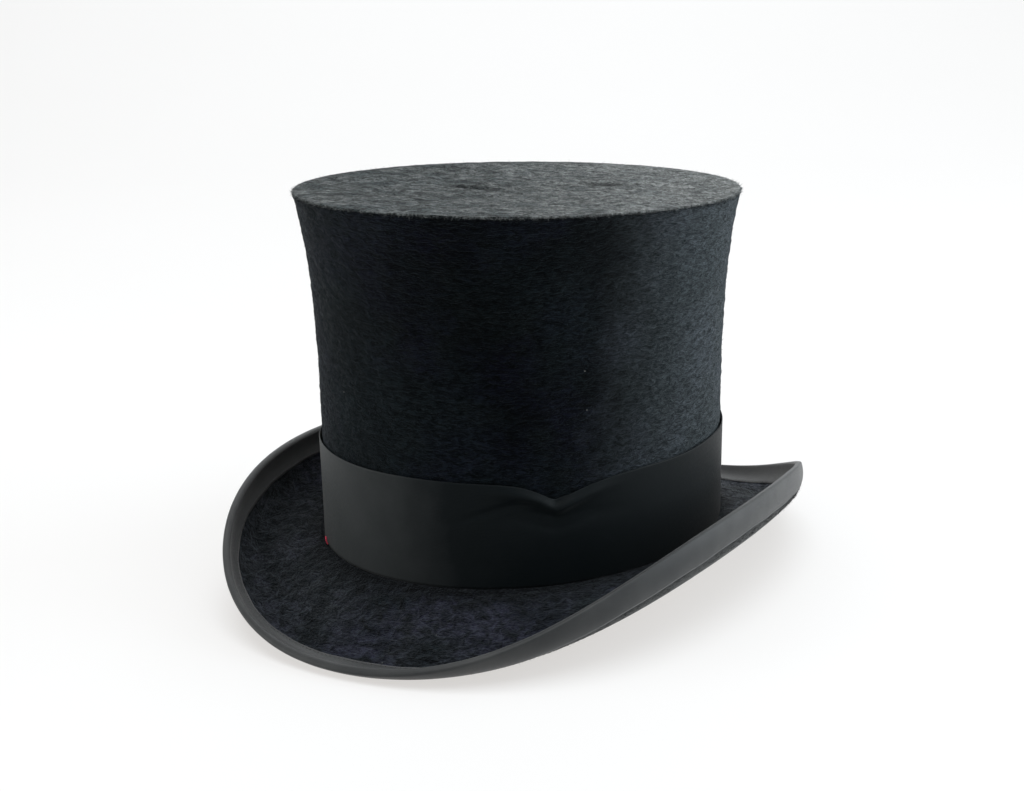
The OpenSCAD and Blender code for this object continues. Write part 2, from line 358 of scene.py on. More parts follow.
def span_towards(p, direction, begins, ends, uneven, ragged):
    """Rises from 0 to 1 that way across the hat, between two distances in metres, with an uneven edge."""
    across = p.node("VectorMath", {"operation": "DOT_PRODUCT"}, {0: p.place, 1: direction}).outputs["Value"]
    reached = p.plus(across, p.times(uneven, ragged))
    span = p.math("DIVIDE", p.minus(reached, begins + ragged / 2), ends - begins)
    return p.ramp(span, step(0.0, 1.0))


def specked(p, base, colour, count, rare):
    """Pale specks of dust: count cells along a metre, of which only the share above rare has a speck."""
    cells = p.node("TexVoronoi", {}, {"Vector": p.place, "Scale": count})
    close = p.ramp(cells.outputs["Distance"], step(0.022, 0.045, 1.0, 0.0))
    split = p.node("SeparateColor", {}, {"Color": cells.outputs["Color"]})
    chosen = p.math("GREATER_THAN", split.outputs["Red"], rare)
    return p.mix(p.times(close, chosen), base, colour)


def hollow_shade(p, hollow, uneven):
    """Painted shade over a hollow of the tip, as TIP_DENTS has it, and white elsewhere."""
    x, y, size, _ = hollow
    inputs = {"Vector": p.place, "Scale": (1 / size[0] / MM, 1 / size[1] / MM, 0),
              "Location": (-x / size[0], -y / size[1], 0)}
    spot = p.node("Mapping", {}, inputs).outputs["Vector"]
    away = p.node("VectorMath", {"operation": "LENGTH"}, {0: spot}).outputs["Value"]
    broken = p.minus(p.plus(away, p.times(uneven, 1.6)), 0.8)
    return p.ramp(p.times(broken, 0.6), [(0.27, (0.14, 0.15, 0.15)), (0.93, grey(1))])


def crown_foot_shade(p, width, uneven):
    """Painted shade on the brim next to the crown's foot, over a width in metres from the first edge of the
    cloth.
    """
    across = p.node("SeparateXYZ", {}, {"Vector": p.cloth()}).outputs["Y"]
    ragged = p.plus(p.math("DIVIDE", across, width), p.minus(uneven, 0.5))
    return p.ramp(ragged, [(0.3, (0.08, 0.09, 0.1)), (1.0, grey(1))])


def plush_material(name, dark, light, cool, warm, streaks, tufts, matting, painted_sheen, sheen, sheen_tint,
                   specular, depth, hollows=(), foot_shade_width=0.0):
    """Silk plush: a nap brushed along the cloth in fine streaks, matted in tufts, with a few pale specks.

    streaks and tufts are how many there are in a metre, along the nap and across it, matting how many matted
    patches. painted_sheen is painted sheen: the colour added on the side that the window lamp lights, and how
    far across that begins and ends. hollows are where the nap is pressed in, each darkened with painted
    shade, and foot_shade_width is how wide the painted shade next to the crown's foot is, in metres.
    """
    p = Paint(name)
    fine = p.noise(p.cloth(*streaks), 1.0, 3.0, 0.65, 0.4)
    tuft = p.noise(p.cloth(*tufts), 1.0, 4.0, 0.62, 0.9)
    patches = p.noise(p.place, 24.0, 3.0, 0.6)
    worn = p.noise(p.place, 55.0, 6.0, 0.7)
    matted = p.noise(p.place, matting, 3.0, 0.55)
    middle = tuple(0.35 * c for c in light)
    base = p.ramp(p.times(fine, tuft), [(0.17, dark), (0.25, middle), (0.34, light)])
    base = p.mix(p.ramp(matted, step(0.38, 0.6)), p.mix(1.0, base, (0.22, 0.3, 0.32), "MULTIPLY"), base)
    cooler = p.mix(p.ramp(tuft, step(0.35, 0.7)), base, cool, "ADD")
    base = p.mix(p.ramp(patches, step(0.46, 0.64)), base, cooler)
    warmer = p.mix(p.ramp(fine, step(0.4, 0.65)), base, warm, "ADD")
    base = p.mix(p.ramp(worn, step(0.5, 0.72)), base, warmer)
    # Painted sheen: pale streaks added towards the side that the window lamp lights.
    colour, begins, ends = painted_sheen
    sheen_streaks = p.mix(p.ramp(tuft, step(0.34, 0.66, 0.25, 1.0)), grey(0.0), colour)
    sheen_streaks = p.mix(p.ramp(fine, step(0.35, 0.68, 0.3, 1.0)), grey(0.0), sheen_streaks)
    span = span_towards(p, LIT_SIDE, begins, ends, patches, 0.05)
    base = p.mix(span, base, p.mix(1.0, base, sheen_streaks, "ADD"))
    # Painted shade over each hollow of the tip.
    for hollow in hollows:
        base = p.mix(1.0, base, hollow_shade(p, hollow, worn), "MULTIPLY")
    # Painted shade on the brim next to the crown's foot, where the band and crown shade it.
    if foot_shade_width:
        base = p.mix(1.0, base, crown_foot_shade(p, foot_shade_width, tuft), "MULTIPLY")
    p.set(base_color=specked(p, base, (0.2, 0.2, 0.19), 150.0, 0.87))
    p.set(roughness=p.ramp(tuft, step(0.3, 0.7, 0.8, 0.52)), specular_ior_level=specular)
    p.set(sheen_weight=sheen, sheen_roughness=0.35, sheen_tint=sheen_tint)
    p.bump(p.plus(p.times(tuft, 0.8), p.times(fine, 0.4)), depth)
    return p.material


def cloth_material(name, dark, light, threads, rough, sheen, ribs=(1.0, 1.0), mottle=(0.0, 0.0, 0.0),
                   depth=0.0001, specular=0.3, dusty=False, far_side_light=None):
    """Woven cloth: threads is how many cross a metre each way, ribs how strongly each way shows.

    mottle is the colour added in patches. far_side_light is painted light: the colour added on the side that
    the left lamp lights, away from the window lamp, and how far across that begins and ends.
    """
    p = Paint(name)
    waves = [p.times(p.wave(p.cloth(), direction, count * TAU / 20, 0.6, 1.0, 1.5), rib / 2)
             for direction, count, rib in zip("XY", threads, ribs)]
    grain = p.noise(p.place, 900.0, 4.0, 0.7)
    patches = p.noise(p.place, 38.0, 4.0, 0.6)
    both = p.plus(p.times(p.plus(*waves), 0.55), p.times(grain, 0.45))
    base = p.ramp(both, [(0.2, dark), (0.8, light)])
    base = p.mix(p.ramp(patches, step(0.4, 0.72)), base, p.mix(1.0, base, mottle, "ADD"))
    # Painted light: the cloth is paler towards the side that the left lamp lights.
    if far_side_light:
        colour, begins, ends = far_side_light
        span = span_towards(p, tuple(-c for c in LIT_SIDE), begins, ends, patches, 0.03)
        base = p.mix(span, base, p.mix(1.0, base, colour, "ADD"))
    if dusty:
        base = specked(p, base, (0.14, 0.14, 0.135), 120.0, 0.88)
    p.set(base_color=base, roughness=p.ramp(grain, step(0.3, 0.7, rough - 0.08, rough + 0.08)))
    p.set(specular_ior_level=specular, sheen_weight=sheen, sheen_roughness=0.45)
    p.bump(both, depth)
    return p.material


def thread_material(name, dark, light):
    p = Paint(name)
    twist = p.wave(p.place, "DIAGONAL", 900.0, 3.0, 2.0)
    p.set(base_color=p.ramp(twist, [(0.2, dark), (0.8, light)]), roughness=0.6, sheen_weight=0.2)
    p.bump(twist, 0.0001)
    return p.material


def fibre_material(name, dark, light):
    p = Paint(name)
    spots = p.noise(p.place, 300.0, 2.0, 0.55)
    p.set(base_color=p.ramp(spots, [(0.35, dark), (0.7, light)]), roughness=0.7, specular_ior_level=0.1)
    return p.material


def leather_material():
    p = Paint("leather")
    cells = p.node("TexVoronoi", {"feature": "DISTANCE_TO_EDGE"}, {"Vector": p.place, "Scale": 900.0})
    patches = p.noise(p.place, 30.0, 5.0, 0.6)
    worn = p.noise(p.scaled(p.place, (1, 1, 6)), 60.0, 6.0, 0.7)
    base = p.ramp(patches, [(0.3, (0.11, 0.052, 0.024)), (0.7, (0.26, 0.14, 0.07))])
    base = p.mix(p.ramp(worn, step(0.55, 0.8, 0.0, 0.7)), base, (0.05, 0.025, 0.014))
    p.set(base_color=base, roughness=p.ramp(worn, step(0.3, 0.75, 0.36, 0.58)))
    p.bump(p.ramp(cells.outputs["Distance"], step(0.0, 0.12)), 0.00012, 0.6)
    return p.material


# Two places where the tip was pressed in: x, y, half widths and depth
TIP_DENTS = [(-22.0, -2.0, (14, 6), 2.4), (18.0, 42.0, (12, 5.5), 2.2)]
# Towards the wearer's left and a little to the back: the side that the window lamp lights, where the plush
# gets painted sheen
LIT_SIDE = (0.87, 0.49, 0.0)

PLUSH = plush_material(
    "crown_plush", dark=(0.0, 0.0009, 0.0012), light=(0.0056, 0.0098, 0.012), cool=(0.0016, 0.0008, 0.0055),
    warm=(0.0042, 0.005, 0.0042), streaks=(420, 3000), tufts=(230, 640), matting=17.0,
    painted_sheen=((0.095, 0.112, 0.122), 0.028, 0.085), sheen=0.055, sheen_tint=(0.7, 0.88, 1.0), specular=0.026,
    depth=0.002)
# The tip's colours are far paler than the crown's: painted sheen, standing in for the sheen of the nap seen
# at a grazing angle on the top.
TIP_PLUSH = plush_material(
    "tip_plush_cloth", dark=(0.004, 0.006, 0.0062), light=(0.12, 0.132, 0.132), cool=(0.004, 0.006, 0.008),
    warm=(0.03, 0.032, 0.03), streaks=(900, 1300), tufts=(210, 250), matting=75.0,
    painted_sheen=((0.22, 0.226, 0.224), -0.03, 0.11), sheen=0.045, sheen_tint=(0.88, 0.97, 1.0), specular=0.04,
    depth=0.0034, hollows=TIP_DENTS)
BRIM_PLUSH = plush_material(
    "brim_plush_cloth", dark=(0.0, 0.0008, 0.0012), light=(0.023, 0.027, 0.033), cool=(0.005, 0.003, 0.014),
    warm=(0.012, 0.0125, 0.012), streaks=(420, 1500), tufts=(150, 260), matting=48.0,
    painted_sheen=((0.05, 0.056, 0.06), 0.06, 0.12), sheen=0.06, sheen_tint=(0.75, 0.88, 1.0), specular=0.04,
    depth=0.004, foot_shade_width=0.012)
BAND = cloth_material(
    "band_cloth", dark=(0.0008, 0.0024, 0.003), light=(0.0036, 0.0056, 0.0066), threads=(2600, 1700),
    rough=0.55, sheen=0.04, ribs=(0.6, 1.0), mottle=(0.001, 0.001, 0.0012), depth=0.00006, specular=0.07,
    dusty=True, far_side_light=((0.036, 0.038, 0.038), 0.03, 0.1))
RIBBON = cloth_material(
    "binding_ribbon", dark=(0.009, 0.0105, 0.0115), light=(0.03, 0.0325, 0.0335), threads=(2900, 1200),
    rough=0.55, sheen=0.14, ribs=(0.8, 0.3), mottle=(0.014, 0.014, 0.0135), depth=0.00008, specular=0.25,
    dusty=True)
UNDER_CLOTH = cloth_material(
    "under_cloth", dark=(0.0016, 0.0028, 0.003), light=(0.0075, 0.0095, 0.0095), threads=(1500, 1500),
    rough=0.75, sheen=0.15, mottle=(0.006, 0.006, 0.005), depth=0.00014, specular=0.2)
SATIN = cloth_material(
    "satin", dark=(0.36, 0.31, 0.235), light=(0.6, 0.54, 0.43), threads=(500, 2600), rough=0.32, sheen=0.25,
    ribs=(0.3, 1.0), mottle=(-0.05, -0.06, -0.07), depth=0.00004, specular=0.5)
BOARD = cloth_material(
    "shellac_cloth", dark=(0.26, 0.19, 0.11), light=(0.5, 0.4, 0.26), threads=(900, 900), rough=0.45,
    sheen=0.05, mottle=(-0.06, -0.06, -0.05), depth=0.00025)
TAPE = cloth_material(
    "cotton_tape", dark=(0.36, 0.33, 0.26), light=(0.62, 0.58, 0.48), threads=(1300, 1300), rough=0.8,
    sheen=0.1, mottle=(-0.05, -0.05, -0.05), depth=0.0002)
BOW_RIBBON = cloth_material(
    "bow_ribbon", dark=(0.006, 0.006, 0.007), light=(0.018, 0.018, 0.02), threads=(1500, 600), rough=0.45,
    sheen=0.3, ribs=(1.2, 0.3), mottle=(0.003, 0.003, 0.003), depth=0.00012, specular=0.45)
THREAD = thread_material("black_thread", (0.006, 0.006, 0.007), (0.028, 0.028, 0.03))
LIGHT_THREAD = thread_material("light_thread", (0.36, 0.3, 0.18), (0.68, 0.6, 0.42))
RED_THREAD = thread_material("red_thread", (0.6, 0.01, 0.035), (0.9, 0.05, 0.12))
REED = thread_material("reed", (0.5, 0.42, 0.26), (0.74, 0.66, 0.46))
LEATHER = leather_material()


# ---- Plush ----
def fibres(name, roots, along, up, length, material, rng):
    """Loose ends of the pile, each a slim closed spike from its root."""
    count = len(roots)
    along = along / np.linalg.norm(along, axis=1, keepdims=True)
    side = np.cross(up, along)
    side /= np.linalg.norm(side, axis=1, keepdims=True)
    wide = rng.uniform(0.06, 0.11, (count, 1))
    points = np.stack([roots - side * wide, roots + side * wide, roots + up * wide * 1.5,
                       roots + along * length[:, None]], 1)
    base = 4 * np.arange(count)[:, None, None]
    faces = (base + np.array([[0, 1, 2], [0, 3, 1], [1, 3, 2], [2, 3, 0]])).reshape(-1, 3)
    return finished(make_mesh(name, points, faces), name, material, smooth=False)


def crown_fibres():
    rng = np.random.default_rng(41)
    count, rim = 6000, 3600
    t = rng.uniform(0, 360, count + rim)
    z = np.concatenate([rng.uniform(BAND_H - 5, WALL_TOP, count),
                        WALL_TOP + TIP_T * rng.uniform(-0.6, 0.6, rim)])
    low = np.concatenate([np.full(count, 0.15), np.full(rim, 0.35)])
    roots = place(t, flare(t, z) + PLUSH_T - low, z)
    away, level = around(t)
    lift = np.concatenate([rng.uniform(0.08, 0.42, count), rng.uniform(0.15, 0.95, rim)])[:, None]
    rise = np.concatenate([rng.normal(0, 0.22, count), rng.uniform(-0.1, 0.6, rim)])[:, None]
    length = np.concatenate([rng.uniform(1.1, 3.0, count), rng.uniform(0.8, 2.1, rim)])
    fibres("side_plush_fibres", roots, level + away * lift + UP * rise, away, length,
           fibre_material("crown_fibre", (0.001, 0.0024, 0.003), (0.012, 0.016, 0.019)), rng)


def tip_edge(t, r):
    """The outline of a layer of the tip, r outside the oval."""
    edge = place(t, r, 0.0)
    edge[..., 2] = 0
    return edge


def tip_height(p, share, low, dish=(1, 0.75, 0.06, 0)):
    """Heights on the tip, low below its top, at points a share of the way from its middle to its edge."""
    z = raised(p[..., 1], CROWN_H - low) - TIP_DISH * np.interp(share, [0, 0.4, 0.8, 1], dish)
    for x, y, size, depth in TIP_DENTS:
        z -= depth * np.exp(-((p[..., 0] - x) / size[0]) ** 2 - ((p[..., 1] - y) / size[1]) ** 2)
    return z


def tip_layer(edge, share, low, **dish):
    """A layer of the tip, low below its top: edge is the outline, share how far out each ring lies."""
    p = edge[:, None, :] * share[None, :, None]
    p[..., 2] = tip_height(p, share, low, **dish)
    return p


def tip_fibres():
    rng = np.random.default_rng(42)
    count = 5500
    t, share = rng.uniform(0, 360, count), np.sqrt(rng.uniform(0, 0.99, count))
    edge = tip_edge(t, flare(t, WALL_TOP) + PLUSH_T * 0.98)
    roots = edge * share[:, None]
    roots[:, 2] = tip_height(roots, share, 0.5)
    swirl = rng.normal(0.6, 0.7, count) + np.radians(t)
    along = np.stack([-np.sin(swirl), np.cos(swirl), rng.uniform(0.1, 0.55, count)], 1)
    rim = 3000
    t = rng.uniform(0, 360, rim)
    edge = tip_edge(t, flare(t, WALL_TOP) + PLUSH_T * 0.9)
    edge[:, 2] = raised(edge[:, 1], CROWN_H - rng.uniform(0.35, 1.3, rim))
    away, level = around(t)
    leaning = away * rng.uniform(0.2, 1.0, (rim, 1)) + level * rng.normal(0.5, 0.6, (rim, 1))
    roots = np.concatenate([roots, edge])
    along = np.concatenate([along, leaning + UP * rng.uniform(-0.45, 0.5, (rim, 1))])
    count += rim
    # The tip's loose ends are far paler than the crown's: painted sheen on the top, like the tip's nap.
    fibres("tip_plush_fibres", roots, along, np.tile(UP, (count, 1)), rng.uniform(0.9, 2.3, count),
           fibre_material("tip_fibre", (0.012, 0.015, 0.016), (0.16, 0.17, 0.17)), rng)


def on_brim(t, s, h, side):
    """Points on the brim's upper face, or its lower one for side -1, and the ways up, outwards and along."""
    roots = place(t, *brim(t, s, h))
    up = side * (place(t, *brim(t, s, h + 1.0)) - roots)
    away = place(t, *brim(t, s + 1.0, h)) - roots
    return roots, up, away, np.cross(up, away)


def leaning_pile(up, away, level, lean, lift):
    """Directions that lean from the way along the brim towards its edge, in radians, and rise by lift."""
    return level * np.cos(lean)[:, None] + away * np.sin(lean)[:, None] + up * lift[:, None]


def brim_fibres():
    rng = np.random.default_rng(43)
    count, foot = 8000, 1600
    t = rng.uniform(0, 360, count + foot)
    reach = mixed(BRIM, t) - BINDING_W + 1.0
    share = np.concatenate([rng.uniform(0, 1, count), np.zeros(foot)])
    s = PLUSH_T + share * (reach - PLUSH_T) + np.concatenate([np.zeros(count), rng.uniform(0.6, 2.4, foot)])
    roots, up, away, level = on_brim(t, s, PLUSH_T - 0.25, 1)
    lean = 0.9 * wobble(roots, 24, 21.0, 2) + rng.normal(0, 0.45, count + foot)
    lift = np.concatenate([rng.uniform(0.15, 0.6, count), rng.uniform(0.5, 1.3, foot)])
    along = leaning_pile(up, away, level, lean, lift)
    fibres("brim_plush_fibres", roots, along, up, rng.uniform(1.2, 3.4, count + foot),
           fibre_material("brim_fibre", (0.002, 0.0035, 0.0045), (0.034, 0.038, 0.044)), rng)


def under_fibres():
    rng = np.random.default_rng(44)
    count = 5200
    t = rng.uniform(0, 360, count)
    s = mixed(BRIM, t) - BINDING_W + rng.uniform(-3.5, 1.6, count)
    roots, up, away, level = on_brim(t, s, -UNDER + 0.1, -1)
    along = leaning_pile(up, away, level, rng.normal(0.5, 0.7, count), rng.uniform(0.2, 0.7, count))
    fibres("under_brim_fibres", roots, along, up, rng.uniform(0.9, 2.2, count),
           fibre_material("under_fibre", (0.001, 0.002, 0.0022), (0.01, 0.012, 0.012)), rng)


def plush_bumps(points, depth, seed):
    """Tufts and matting of the nap, brushed level around the hat."""
    return depth * (0.6 * wobble(points, (7, 7, 2.6), seed) + 0.4 * wobble(points, 16, seed + 1, 2))


def side_plush():
    zs = np.concatenate([[COLLAR_H - 1], np.linspace(COLLAR_H + 6, WALL_TOP - 4, 126),
                         np.linspace(WALL_TOP - 3.5, WALL_TOP, 11)])
    rim = np.linspace(0, math.pi / 2, 5)[1:]

    def section(t):
        rows = [(flare(t, z) + PLUSH_T, z) for z in zs]
        rows += [(flare(t, WALL_TOP) + PLUSH_T * math.cos(a) * 0.9 + 0.05, WALL_TOP + TIP_T * math.sin(a))
                 for a in rim]
        outer = ring(t, rows)
        bumps = plush_bumps(outer, 0.5, 3.0)
        bumps[:, -5:] *= 0.6
        inner = ring(t, [(flare(t, z), z) for z in np.linspace(WALL_TOP, zs[0], 32)])
        outer = outer + around(t)[0][:, None] * np.maximum(bumps, -0.45)[..., None]
        return np.concatenate([outer, inner], 1)

    piece = shell("side_plush_nap", section, ALONG, PLUSH, ["side_plush"])
    return piece


def tip_plush():
    t = np.arange(360) + SEAM
    share = np.linspace(0.004, 1, 90)
    edge = tip_edge(t, flare(t, WALL_TOP) + PLUSH_T * 0.98)
    top = tip_layer(edge, share, 0.0)
    bumps = 0.5 * wobble(top, 6, 8.0) + 0.35 * wobble(top, 24, 9.0, 2)
    fade = np.interp(share, [0, 0.93, 1], [1, 1, 0.25])[None, :]
    top[..., 2] += np.clip(bumps * fade - 0.2, -0.75, 0.25)
    roll = top[:, -1:, :].copy()
    roll[..., 2] -= 0.45
    piece = disc("tip_plush_nap", [top, roll, tip_layer(edge, share, PLUSH_T)[:, ::-1]], TIP_PLUSH,
                 ["tip_plush"])
    return piece


def tip_board():
    t = np.arange(180) * 2.0 + SEAM
    share = np.linspace(0.01, 1, 60)
    edge = tip_edge(t, flare(t, WALL_TOP) - 0.05)
    return disc("tip_board", [tip_layer(edge, share, PLUSH_T + 0.02),
                              tip_layer(edge, share, PLUSH_T + TIP_T)[:, ::-1]], BOARD,
                ["tip_shell"])


def brim_plush():
    shares = np.linspace(0, 1, 76)

    def section(t):
        width = mixed(BRIM, t)
        stop = width - 0.3
        top = ring(t, [brim(t, share * stop + (1 - share) * PLUSH_T, PLUSH_T) for share in shares])
        low = ring(t, [brim(t, share * stop + (1 - share) * PLUSH_T, 0.0) for share in shares[::-1]])
        up = top - low[:, ::-1]
        up /= np.linalg.norm(up, axis=-1, keepdims=True)
        bumps = plush_bumps(top, 0.75, 5.0)
        hidden = shares[None, :] * stop[:, None] > width[:, None] - BINDING_W + 0.5
        bumps = np.where(hidden, -0.12, np.clip(bumps, -0.6, 0.8))
        bumps[:, :3] = 0.1
        return np.concatenate([top + up * bumps[..., None], low], 1)

    piece = shell("brim_plush_nap", section, ALONG, BRIM_PLUSH, ["upper_brim_plush"])
    return piece


def under_cover():
    shares = np.linspace(0, 1, 44)

    def section(t):
        stop = mixed(BRIM, t) - 0.3
        rows = [(np.full_like(t, -SHELL_T), brim_z(t, 0, -UNDER))]
        rows += [brim(t, share * stop, -UNDER) for share in shares]
        back = [brim(t, share * stop, -BOARD_T - 0.06) for share in shares[::-1]]
        back += [(np.full_like(t, -SHELL_T), brim_z(t, 0, -BOARD_T - 0.06))]
        return ring(t, rows + back)

    piece = shell("under_brim_cloth", section, ALONG, UNDER_CLOTH, ["under_brim_cover"])
    return piece


# ---- Binding ----
def binding_edges(t):
    """Small waves of the ribbon's two hems, in millimetres."""
    a = np.radians(t)
    upper = 0.22 * np.sin(9 * a + 1.0) + 0.16 * np.sin(23 * a) + 0.1 * np.sin(51 * a + 2)
    lower = 0.2 * np.sin(11 * a) + 0.14 * np.sin(29 * a + 1) - 1.5
    return upper, lower


def folded_ribbon(t, inner, outer, extra=0.0):
    """A ribbon folded over the brim's edge, inner and outer from the layers under it."""
    width = mixed(BRIM, t)
    upper, lower = binding_edges(t)
    shares = np.linspace(0, 1, 13)
    mid, half = (PLUSH_T - UNDER) / 2, (PLUSH_T + UNDER) / 2
    turns = np.linspace(math.pi / 2, -math.pi / 2, 9)[1:-1]

    def run(gap):
        top = [brim(t, width - (BINDING_W + upper + extra) * (1 - s), PLUSH_T + gap + 0.05 * math.sin(9 * s))
               for s in shares]
        fold = [brim(t, width + (0.6 + gap) * math.cos(a), mid + (half + gap) * math.sin(a)) for a in turns]
        under = [brim(t, width - (BINDING_W + lower + extra) * s, -UNDER - gap) for s in shares]
        return top + fold + under

    return ring(t, run(outer) + run(inner)[::-1])


def binding():
    def section(t):
        p = folded_ribbon(t, 0.0, RIBBON_T)
        ripple = 0.1 * wobble(p, (11, 11, 11), 12.0, 2)
        half = p.shape[1] // 2
        p[:, :half] += around(t)[0][:, None] * ripple[:, :half, None] * 0.6
        return p

    piece = shell("brim_binding_ribbon", section, 720, RIBBON, ["brim_binding"])
    return piece


def binding_lap():
    def section(t):
        return folded_ribbon(t, RIBBON_T + 0.12, 2 * RIBBON_T + 0.15, 0.1)

    piece = shell("binding_lap_end", section, 12, RIBBON, ["binding_lap"], BINDING_LAP)
    return piece


def rods(name, starts, ends, radius, lift, material, replaced, steps=4):
    """Many short stitches in one mesh, each a thin arch from its start to its end that rises by its lift."""
    shares = np.linspace(0, 1, steps + 1)
    size = radius * (0.45 + 0.55 * np.sin(math.pi * shares) ** 0.5)
    parts = []
    for a, b, up in zip(starts, ends, lift):
        side = np.cross(up, b - a)
        side /= np.linalg.norm(side)
        centre = a + (b - a) * shares[:, None] + up * np.sin(math.pi * shares)[:, None]
        parts.append(tube(centre, size, side, up / np.linalg.norm(up)))
    return tubes(name, parts, material, replaced)


def row_of_stitches(count, duty, path):
    """Starts, ends and outward lifts of count stitches along path(t) -> (points, normals)."""
    t = np.arange(count) * 360 / count
    a, n1 = path(t)
    b, n2 = path(t + duty * 360 / count)
    return a, b, n1 + n2


def binding_stitches():
    def path(t):
        upper, _ = binding_edges(t)
        s = mixed(BRIM, t) - BINDING_W - upper + HEM
        p = place(t, *brim(t, s, PLUSH_T + RIBBON_T + 0.04))
        q = place(t, *brim(t, s, PLUSH_T + RIBBON_T + 0.14))
        return p, q - p

    a, b, lift = row_of_stitches(400, 0.55, path)
    return rods("binding_stitch_row", a, b, 0.16, lift, THREAD, ["binding_stitches"])


# ---- Hat band ----
def band_inner(z):
    """How far out the band's inner face lies at the height z, before its creases."""
    return PLUSH_T + BAND_GAP + BAND_LOOSE * np.maximum(0, z - COLLAR_H) / (BAND_H - COLLAR_H) * 0.7


def band_creases(t, z):
    """How far the cloth stands out: a roll along its sagging edge, a hollow below it, creases and waves."""
    share = np.clip(z / BAND_H, 0, 1.1)
    d = t - SAG_ANGLE
    below = band_top(t) - z                     # how far below the top edge
    near = np.exp(-np.abs((d + 1) / 13.0) ** 2.6)
    roll = 2.3 * near * np.exp(-((below - 3.2) / 2.6) ** 2)
    hollow = -1.2 * near * np.exp(-((below - 9.5 - 0.25 * np.abs(d)) / 3.2) ** 2)
    crease = -1.5 * np.exp(-((d + 0.4 * (below - 2)) / 1.9) ** 2) * np.exp(-(below / 7) ** 2)
    crease += -0.9 * np.exp(-((below - 5 + 0.55 * (d + 6)) / 1.4) ** 2) * np.exp(-((d + 13) / 9) ** 2)
    waves = 0.16 * np.sin(np.radians(t) * 5 + share * 2.5) + 0.1 * np.sin(np.radians(t) * 13 - share * 3)
    return share ** 2 * waves + roll + hollow + crease


def band_top(t):
    """Height of the band's top edge: it sags to a notch where it is crumpled."""
    d = t - SAG_ANGLE
    left, right = np.exp(-np.abs(d / 6.2) ** 1.5), np.exp(-np.abs(d / 8.4) ** 1.35)
    sag = 6.6 * np.where(d < 0, left, right) + 1.2 * np.exp(-(d / 17.0) ** 2)
    wave = 0.25 * np.sin(np.radians(t) * 3 + 0.6) + 0.12 * np.sin(np.radians(t) * 11)
    return BAND_H - sag + wave


def hat_band():
    shares = np.concatenate([np.linspace(0, 0.8, 34), np.linspace(0.82, 1, 14)])

    def section(t):
        t = np.mod(t, 360.0)
        outer, inner = [], []
        top = band_top(t)
        for share in shares:
            r_in = band_inner(share * top)
            z = share * top + (1 - share) * (brim_z(t, PLUSH_T, PLUSH_T) + 0.05)
            move = np.maximum(band_creases(t, z), -0.7 * share - 0.1)
            outer.append((r_in + move + BAND_T * 0.75, z))
            inner.append((np.maximum(r_in + move, PLUSH_T * 0.9), z))
        lip = (outer[-1][0] - BAND_T * 0.35, outer[-1][1] + 0.3)
        return ring(t, outer + [lip] + inner[::-1])

    piece = shell("hat_band_cloth", section, 720, BAND, ["hat_band"])
    return piece


def band_lap():
    shares = np.linspace(0, 1, 24)

    def section(t):
        top = band_top(np.mod(t, 360.0))
        outer, inner = [], []
        for share in shares:
            z = share * top + (1 - share) * (brim_z(t, PLUSH_T, PLUSH_T) + 0.5)
            r = band_inner(share * top) + np.maximum(band_creases(t, z), -0.7 * share - 0.1) + BAND_T * 0.75
            puff = 0.35 * np.exp(-((t - LAP_START) / 1.2) ** 2)
            outer.append((r + LAP_T + puff, z))
            inner.append((r + 0.08, z))
        return ring(t, outer + inner[::-1])

    piece = shell("hat_band_lap_end", section, 40, BAND, ["hat_band_lap"], (LAP_START, LAP_END))
    z = np.arange(5.0, BAND_H - 2, 3.2)
    t = np.full_like(z, LAP_START + 1.5)

    def at(height, extra):
        r = band_inner(height) + band_creases(t, height) + BAND_T * 0.75 + LAP_T + 0.3 + extra
        return place(t, r, height)

    a, b = at(z, 0.0), at(z + 1.9, 0.0)
    rods("hat_band_stitch_row", a, b, 0.18, at(z, 0.12) - a, THREAD, ["hat_band_stitches"])
    return piece


def red_ends():
    """Two loose ends of red thread that come out under the band, each a thin curved tube."""
    shares = np.linspace(0, 1, 14)
    parts = []
    for turned, lean, length, rise in ((0.0, -0.6, 1.0, 3.0), (1.3, 1.6, 1.5, 3.9)):
        t = ENDS_ANGLE + turned + lean * 0.35 * shares ** 2
        r = PLUSH_T + BAND_T + 0.35 + (length * 0.55) * np.sin(shares * 1.5)
        centre = place(t, r, brim_z(t, r, PLUSH_T) + 0.35 + rise * shares ** 1.6)
        tangent = np.gradient(centre, axis=0)
        tangent /= np.linalg.norm(tangent, axis=1, keepdims=True)
        side = np.cross(tangent, UP)
        side /= np.linalg.norm(side, axis=1, keepdims=True)
        parts.append(tube(centre, 0.32 * (1 - 0.3 * shares), side[:, None], np.cross(side, tangent)[:, None]))
    return tubes("red_thread_pair", parts, RED_THREAD, ["red_thread_ends"])


# ---- Inside ----
LEATHER_LEVELS = ([0, 0.09, 0.3, 0.6, 1], [2 * REED_R, 2 * REED_R, 1.1, 0.8, 0.75])


def leather_gap(z):
    """How far the leather stands off the shell at the height z, widest over the reed."""
    return np.interp((z - FOOT) / SWEATBAND_H, *LEATHER_LEVELS)


